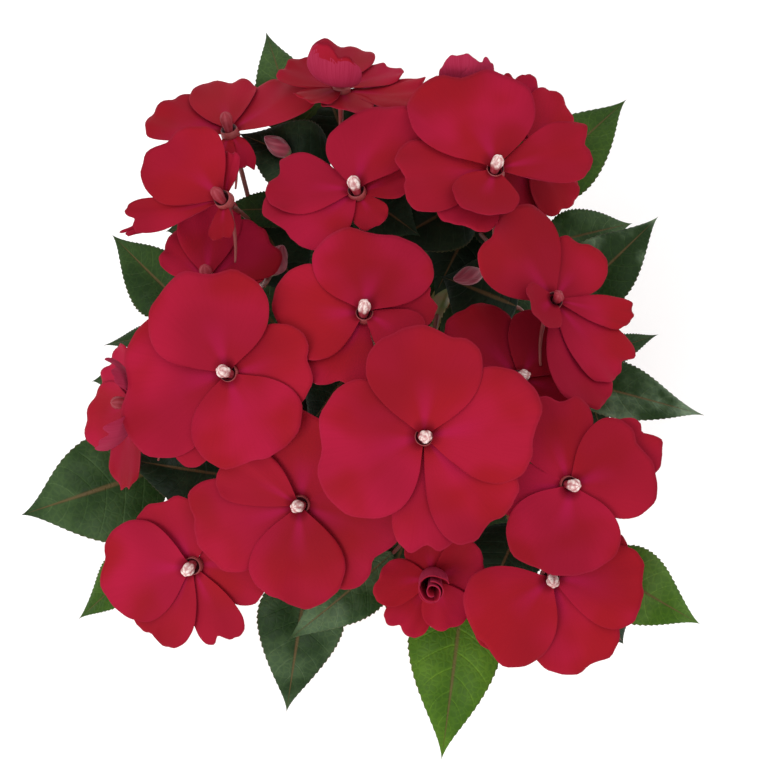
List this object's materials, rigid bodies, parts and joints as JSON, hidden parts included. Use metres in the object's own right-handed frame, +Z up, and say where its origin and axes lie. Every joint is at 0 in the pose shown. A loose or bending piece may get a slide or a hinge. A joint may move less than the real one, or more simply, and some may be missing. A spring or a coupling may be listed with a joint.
{
  "type": "potted new guinea impatiens",
  "caption": "Round plastic pot with a full dome of red New Guinea impatiens blooms over pointed, toothed leaves on fleshy stems.",
  "frame": {"origin": "centre of the pot's underside, on the surface it stands on", "axes": "+Z up, +X to the right and +Y towards the top of the picture"},
  "size_m": [0.2457, 0.2672, 0.2347],
  "materials": {
    "pot": "plain terracotta-coloured plastic, fine satin",
    "soil": "dark crumbly potting mix",
    "foliage": "deep green waxy leaves with reddish midribs, reddish green stems",
    "petal": "crimson petals with a soft velvet sheen",
    "stamen": "pale pinkish white",
    "bud": "dull rose red with paler stripes"
  },
  "bodies": {
    "root": {"pot": "pot", "soil": "soil", "leafy_stem_1": "foliage", "leafy_stem_2": "foliage", "leafy_stem_3": "foliage", "leafy_stem_4": "foliage", "leafy_stem_5": "foliage", "leafy_stem_6": "foliage", "leafy_stem_7": "foliage", "leafy_stem_8": "foliage", "leafy_stem_9": "foliage", "bloom_01": "petal", "bloom_02": "petal", "bloom_03": "petal", "bloom_04": "petal", "bloom_05": "petal", "bloom_06": "petal", "bloom_07": "petal", "bloom_08": "petal", "bloom_09": "petal", "bloom_10": "petal", "bloom_11": "petal", "bloom_12": "petal", "bloom_13": "petal", "bloom_14": "petal", "bloom_15": "petal", "bloom_16": "petal", "bloom_17": "petal", "bloom_18": "petal", "bloom_19": "petal", "column_01": "stamen", "column_02": "stamen", "column_03": "stamen", "column_04": "stamen", "column_05": "stamen", "column_06": "stamen", "column_07": "stamen", "column_08": "stamen", "column_09": "stamen", "column_10": "stamen", "column_11": "stamen", "column_12": "stamen", "column_13": "stamen", "column_14": "stamen", "column_15": "stamen", "column_16": "stamen", "column_17": "stamen", "column_18": "stamen", "bud_1": "bud", "bud_2": "bud", "bud_3": "bud"}
  },
  "joints": []
}
